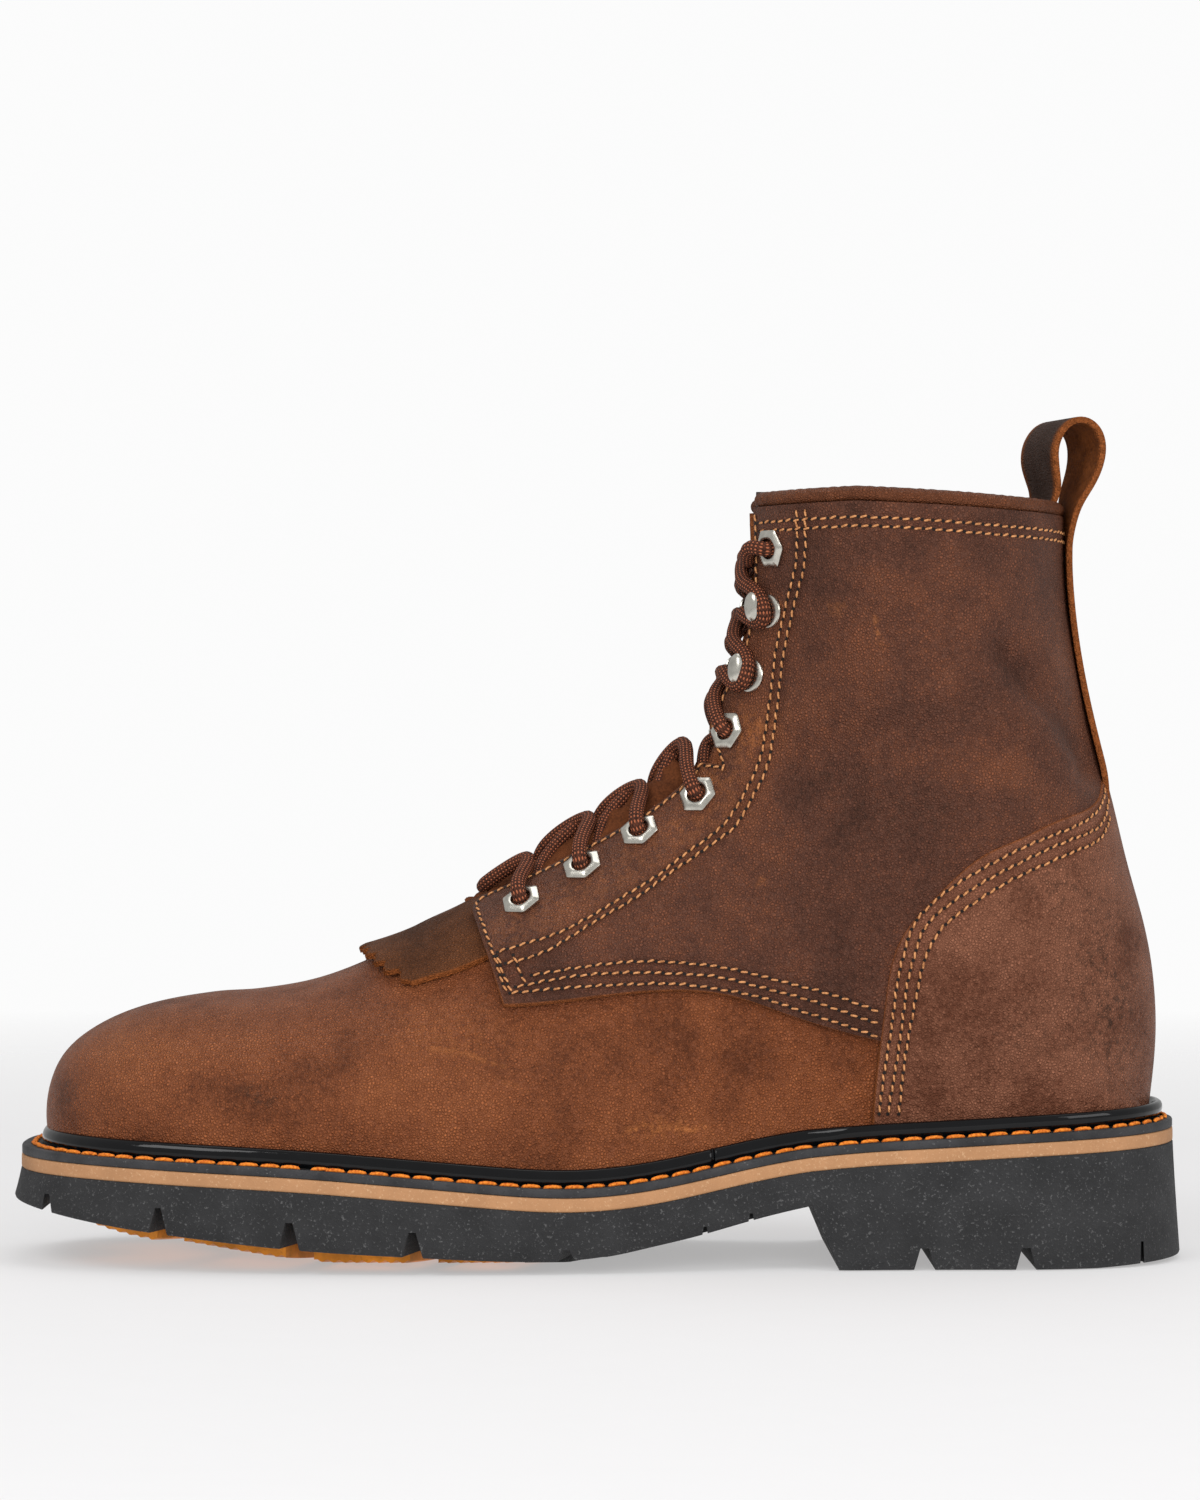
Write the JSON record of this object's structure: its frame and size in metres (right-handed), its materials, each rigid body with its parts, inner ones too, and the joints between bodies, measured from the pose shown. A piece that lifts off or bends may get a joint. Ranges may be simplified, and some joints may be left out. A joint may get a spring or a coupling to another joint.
{
  "type": "kiltie work boot",
  "caption": "Ankle-high lace-up leather work boot for the left foot, with a fringed kiltie, stitched welt, layered sole with a block heel and a pull loop at the collar.",
  "frame": {"origin": "on the floor under the middle of the boot's bounding box", "axes": "toe towards -X, heel towards +X, outer side of the left foot towards -Y, up +Z"},
  "size_m": [0.3106, 0.1106, 0.2235],
  "materials": {
    "rubber_black": "matte charcoal rubber with a fine speckle",
    "rubber_amber": "satin amber rubber",
    "midsole_tan": "matte tan midsole board",
    "welt_black": "dark grey welt with a glossy bead",
    "insole": "plain leather insole",
    "vamp_leather": "waxed red-brown leather",
    "shaft_leather": "waxed dark brown leather",
    "counter_leather": "waxed mottled brown leather",
    "kiltie_leather": "waxed brown leather with raw edges",
    "tongue_leather": "soft brown leather",
    "lace": "braided brown cord with copper flecks",
    "nickel": "satin nickel"
  },
  "bodies": {
    "root": {"outsole": "rubber_black", "tread_pad_1": "rubber_amber", "tread_pad_2": "rubber_amber", "tread_pad_3": "rubber_amber", "tread_pad_4": "rubber_amber", "midsole": "midsole_tan", "welt": "welt_black", "insole": "insole", "upper": "vamp_leather", "tongue": "tongue_leather", "quarter_lateral": "shaft_leather", "quarter_medial": "shaft_leather", "counter": "counter_leather", "collar_piping": "shaft_leather", "pull_strap": "shaft_leather", "kiltie": "kiltie_leather", "lace": "lace", "eyelet_lateral_1": "nickel", "eyelet_lateral_2": "nickel", "eyelet_lateral_3": "nickel", "eyelet_lateral_4": "nickel", "eyelet_lateral_5": "nickel", "eyelet_lateral_6": "nickel", "hook_lateral_1": "nickel", "hook_lateral_2": "nickel", "eyelet_medial_1": "nickel", "eyelet_medial_2": "nickel", "eyelet_medial_3": "nickel", "eyelet_medial_4": "nickel", "eyelet_medial_5": "nickel", "eyelet_medial_6": "nickel", "hook_medial_1": "nickel", "hook_medial_2": "nickel"}
  },
  "joints": []
}
